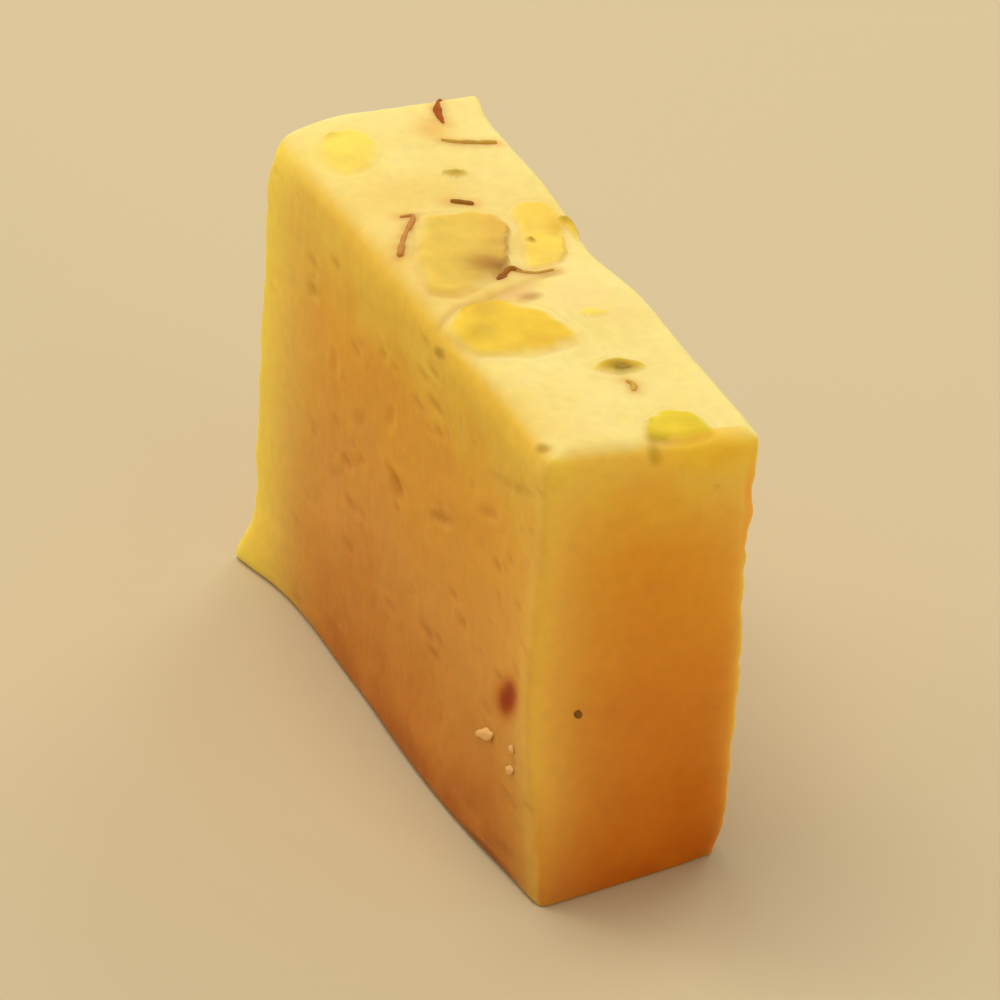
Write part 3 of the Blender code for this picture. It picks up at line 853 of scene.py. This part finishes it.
def addSaffron():
    for name, (route, colour) in saffron["threads"].items():
        points = smoothLine(route, saffron["steps"], closed=False)
        deselectAll()
        bpy.ops.curve.primitive_nurbs_path_add(radius=1)
        strand = bpy.context.object
        strand.name = "saffron" + name[0].upper() + name[1:]
        strand.data.splines.clear()
        spline = strand.data.splines.new("POLY")
        spline.points.add(len(points) - 1)
        for number, (point, knot) in enumerate(zip(points, spline.points)):
            lift = 0.08 * noise.noise(Vector((point.x, point.y, 3.0)) / 1.4) - 0.02
            knot.co = (*inPlace(onTop(point.x, point.y, lift)), 1)
            knot.radius = saffron["slimness"] * point.z
            knot.radius *= 1 + 0.45 * noise.noise(Vector((point.x, point.y, 9.0)) / 0.7)
            if number in (0, len(points) - 1):
                knot.radius *= 0.4
        strand.data.bevel_depth = mm
        strand.data.bevel_resolution = 3
        strand.data.use_fill_caps = True
        bpy.ops.object.convert(target="MESH")
        dress(bpy.context.object, saffronFinish(name, colour))


def saffronStains():
    # where the threads' colour has run into the khoya: places on the slab, reach and strength
    stains = [(onTop(3.3, 22.0), 1.5, 0.30), (onTop(4.2, 23.0), 1.2, 0.35)]
    for along, up in ((-22.9, 17.6), (-22.2, 16.7), (-21.5, 15.8)):
        stains.append((uneven(Vector((-slab["width"] / 2, along, up))), 1.25, 0.95))
    for route, _ in saffron["threads"].values():
        points = smoothLine(route, saffron["steps"], closed=False)
        stains += [(onTop(point.x, point.y), 0.75, 0.40) for point in points[::4]]
    return stains


# Flecks: crisp bits of dark pistachio skin, pressed flat into the surface

flecks = {  # face, place on it, half sizes, turn, how proud and colour
    "endSpeck": ("end", (-4.9, 17.1), (0.32, 0.40), 20, 0.03, "#7a4e0c"),
    "heartGrain": ("top", (2.2, -15.9), (0.75, 0.20), -14, 0.16, "#957612"),
    "brownCorner": ("top", (-1.1, -1.0), (0.60, 0.34), 35, 0.06, "#8c5010"),
}


def onFace(face, u, v, height=0.0):
    # a place on the top, the left cut face or the front end, or the given height out of it
    if face == "top":
        return onTop(u, v, height)
    if face == "side":
        return uneven(Vector((-slab["width"] / 2 - height, u, v)))
    return uneven(Vector((u, -slab["length"] / 2 - height, v)))


def fleckFinish(name, colour):
    finish, tree, shader = newFinish("driedSkin" + name[0].upper() + name[1:])
    place = addNode(tree, "TexCoord").outputs["Object"]
    patch = addNode(tree, "TexNoise", {"Scale": across(0.4), "Detail": 3.0}, {"Vector": place})
    paler = addNode(tree, "HueSaturation", {"Value": 1.45, "Saturation": 0.9, "Color": linear(colour)})
    mixed = addNode(tree, "Mix", {"data_type": "RGBA", 6: linear(colour)},
                    {0: patch.outputs["Fac"], 7: paler.outputs[0]})
    tree.links.new(mixed.outputs[2], shader.inputs["Base Color"])
    shader.inputs["Roughness"].default_value = 0.6
    shader.inputs["Specular IOR Level"].default_value = 0.15
    return finish


def addFlecks():
    for name, (face, (u, v), halves, turn, proud, colour) in flecks.items():
        deselectAll()
        bpy.ops.mesh.primitive_uv_sphere_add(segments=24, ring_count=12, radius=1)
        piece = bpy.context.object
        piece.name = "fleck" + name[0].upper() + name[1:]
        angle = math.radians(turn)
        for vertex in piece.data.vertices:
            x, y, z = vertex.co * (1 + 0.35 * noise.noise(vertex.co * 1.3 + Vector((u, v, 0))))
            a, b = x * halves[0], y * halves[1]
            place = (u + a * math.cos(angle) - b * math.sin(angle),
                     v + a * math.sin(angle) + b * math.cos(angle))
            vertex.co = inPlace(onFace(face, *place, proud + z * 0.14))
        useOnly(piece)
        bpy.ops.object.mode_set(mode="EDIT")
        bpy.ops.mesh.select_all(action="SELECT")
        bpy.ops.mesh.normals_make_consistent(inside=False)
        bpy.ops.object.mode_set(mode="OBJECT")
        dress(piece, fleckFinish(name, colour))


# Crumbs of khoya that stick to the cut face

crumbs = {
    "lumps": [  # face, place on it, half sizes along, up and out, and turn
        ("side", (-17.6, 10.4), (1.90, 0.52, 0.30), -32),
        ("side", (-22.6, 10.3), (1.00, 0.40, 0.20), -32),
        ("side", (-23.2, 12.6), (0.60, 0.34, 0.16), -32),
    ],
    "colour": "#ecae58",
}


def crumbFinish():
    finish, tree, shader = newFinish("paleKhoyaCrumb")
    place = addNode(tree, "TexCoord").outputs["Object"]
    patch = addNode(tree, "TexNoise", {"Scale": across(0.5), "Detail": 2.0}, {"Vector": place})
    paler = addNode(tree, "HueSaturation",
                    {"Value": 1.08, "Saturation": 0.85, "Color": linear(crumbs["colour"])})
    mixed = addNode(tree, "Mix", {"data_type": "RGBA", 6: linear(crumbs["colour"])},
                    {0: patch.outputs["Fac"], 7: paler.outputs[0]})
    tree.links.new(mixed.outputs[2], shader.inputs["Base Color"])
    shader.inputs["Roughness"].default_value = 0.55
    shader.inputs["Specular IOR Level"].default_value = 0.2
    shader.inputs["Subsurface Weight"].default_value = 0.15
    shader.inputs["Subsurface Radius"].default_value = (1.0, 0.7, 0.4)
    shader.inputs["Subsurface Scale"].default_value = 0.4 * mm
    return finish


def addCrumbs():
    # small lumps half sunk in the surface, joined as one piece
    made = []
    for face, (u, v), (along, up, out), turn in crumbs["lumps"]:
        deselectAll()
        bpy.ops.mesh.primitive_ico_sphere_add(subdivisions=3, radius=1)
        lump = bpy.context.object
        angle = math.radians(turn)
        for vertex in lump.data.vertices:
            x, y, z = vertex.co * (1 + 0.3 * noise.noise(vertex.co * 1.4 + Vector((u, v, 0))))
            a, b = x * along, y * up
            place = (u + a * math.cos(angle) - b * math.sin(angle),
                     v + a * math.sin(angle) + b * math.cos(angle))
            vertex.co = inPlace(onFace(face, *place, z * out))
        made.append(lump)
    piece = joinPieces(made, "khoyaCrumbs")
    useOnly(piece)
    bpy.ops.object.mode_set(mode="EDIT")
    bpy.ops.mesh.select_all(action="SELECT")
    bpy.ops.mesh.normals_make_consistent(inside=False)
    bpy.ops.object.mode_set(mode="OBJECT")
    dress(piece, crumbFinish())


# The scene round the slab

studio = {
    "azimuth": -26.416,
    "elevation": 32.006,
    "roll": -3.247,
    "distance": 897.315,
    "offCentre": (-1.06, -16.803),
    "lens": 396,
    "floor": "#cebe98",
}


def addCamera():
    azimuth, elevation, roll = (math.radians(studio[key]) for key in ("azimuth", "elevation", "roll"))
    back = Vector((math.sin(azimuth) * math.cos(elevation), -math.cos(azimuth) * math.cos(elevation),
                   math.sin(elevation)))
    right = Vector((math.cos(azimuth), math.sin(azimuth), 0))
    turned = Matrix.Rotation(roll, 3, "Z") @ Matrix((right, back.cross(right), back))
    facing = turned.transposed()
    place = facing @ Vector((-studio["offCentre"][0], -studio["offCentre"][1], studio["distance"]))
    bpy.ops.object.camera_add(location=inPlace(place), rotation=facing.to_euler())
    camera = bpy.context.object
    camera.data.lens = studio["lens"]
    camera.data.sensor_width = 36
    bpy.context.scene.camera = camera


def addLight(name, place, target, size, power, colour):
    towards = (Vector(target) - Vector(place)).to_track_quat("-Z", "Y")
    bpy.ops.object.light_add(type="AREA", location=place, rotation=towards.to_euler())
    lamp = bpy.context.object
    lamp.name = name
    lamp.data.shape = "DISK"
    lamp.data.size = size
    lamp.data.energy = power
    lamp.data.color = linear(colour)[:3]


def addStudio():
    deselectAll()
    bpy.ops.mesh.primitive_plane_add(size=4, location=(0, 0, 0))
    floor = bpy.context.object
    floor.name = "floor"
    finish, tree, shader = newFinish("palePaperFloor")
    shader.inputs["Base Color"].default_value = linear(studio["floor"])
    shader.inputs["Roughness"].default_value = 0.7
    floor.data.materials.append(finish)
    addLight("overheadSoftbox", (-0.12, 0.18, 0.75), (0, 0, 0.02), 0.55, 3.2, "#fffaf2")
    addLight("rightRim", (0.60, 0.45, 0.40), (0, 0, 0.02), 0.50, 1.7, "#fffaee")
    addLight("backRim", (-0.60, 0.70, 0.35), (0, 0, 0.02), 0.45, 2.1, "#fff6e4")
    addLight("frontFill", (0.26, -0.95, 0.30), (0, 0, 0.02), 0.60, 2.05, "#ffedd2")
    world = bpy.data.worlds.new("softWhiteRoom")
    world.use_nodes = True
    world.node_tree.nodes["Background"].inputs["Color"].default_value = linear("#fff6ea")
    world.node_tree.nodes["Background"].inputs["Strength"].default_value = 0.42
    bpy.context.scene.world = world
    bpy.context.scene.view_settings.view_transform = "Standard"


noise.seed_set(seed)
addCamera()
addStudio()
print("studio ready")
khoyaSlab = makeSlab()
shapeSlab(khoyaSlab, saffronStains(), prepareSlices())
dress(khoyaSlab, khoyaFinish())
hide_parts("barfi")
print("slab cut, pistachio pressed in:", len(khoyaSlab.data.polygons), "faces")
addSaffron()
addFlecks()
print("saffron and flecks laid on")
addCrumbs()
print("crumbs stuck on")
